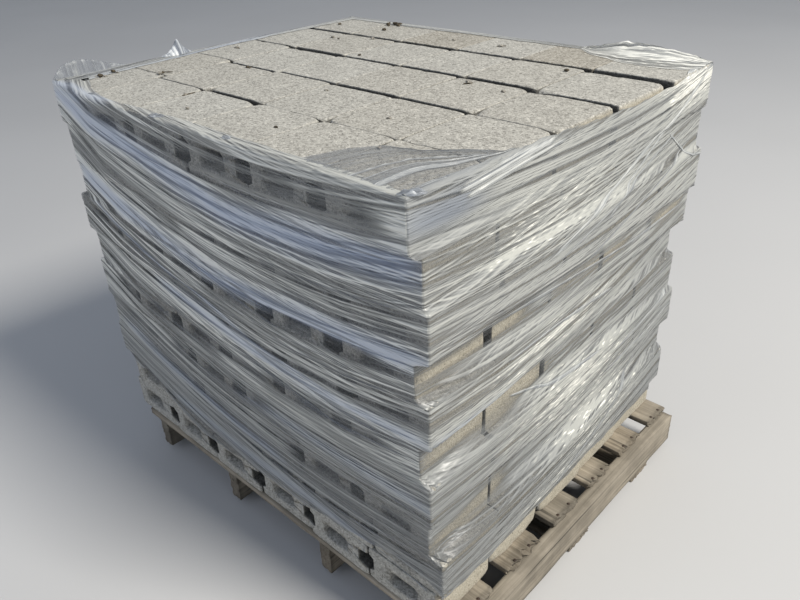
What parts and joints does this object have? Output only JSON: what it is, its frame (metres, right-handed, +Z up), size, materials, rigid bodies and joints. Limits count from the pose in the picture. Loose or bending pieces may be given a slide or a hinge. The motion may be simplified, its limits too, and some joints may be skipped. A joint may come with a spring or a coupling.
{
  "type": "pallet of concrete blocks",
  "caption": "Square stack of cored concrete half blocks on a wooden stringer pallet, wound in clear stretch film that leaves the top and the lowest course bare.",
  "frame": {"origin": "on the floor, under the middle of the whole load's box", "axes": "+X along the deck boards and the six-block side, +Y along the stringers and the five-block side, +Z up"},
  "size_m": [1.3122, 1.04, 1.1263],
  "materials": {
    "concrete": "rough, open-pored dry-cast concrete",
    "timber": "weathered rough-sawn softwood",
    "film": "glossy thin polyethylene stretch film in many overlapping strands"
  },
  "bodies": {
    "root": {"stretch_film": "film", "core_blocks": "concrete", "block_layer_01": "concrete", "block_layer_02": "concrete", "block_layer_03": "concrete", "block_layer_04": "concrete", "block_layer_05": "concrete", "block_layer_06": "concrete", "block_layer_07": "concrete", "block_layer_08": "concrete", "block_layer_09": "concrete", "block_layer_10": "concrete", "deck_board_1": "timber", "deck_board_2": "timber", "deck_board_3": "timber", "deck_board_4": "timber", "deck_board_5": "timber", "deck_board_6": "timber", "stringer_1": "timber", "stringer_2": "timber", "stringer_3": "timber", "stringer_4": "timber", "bottom_board_1": "timber", "bottom_board_2": "timber", "bottom_board_3": "timber"}
  },
  "joints": []
}
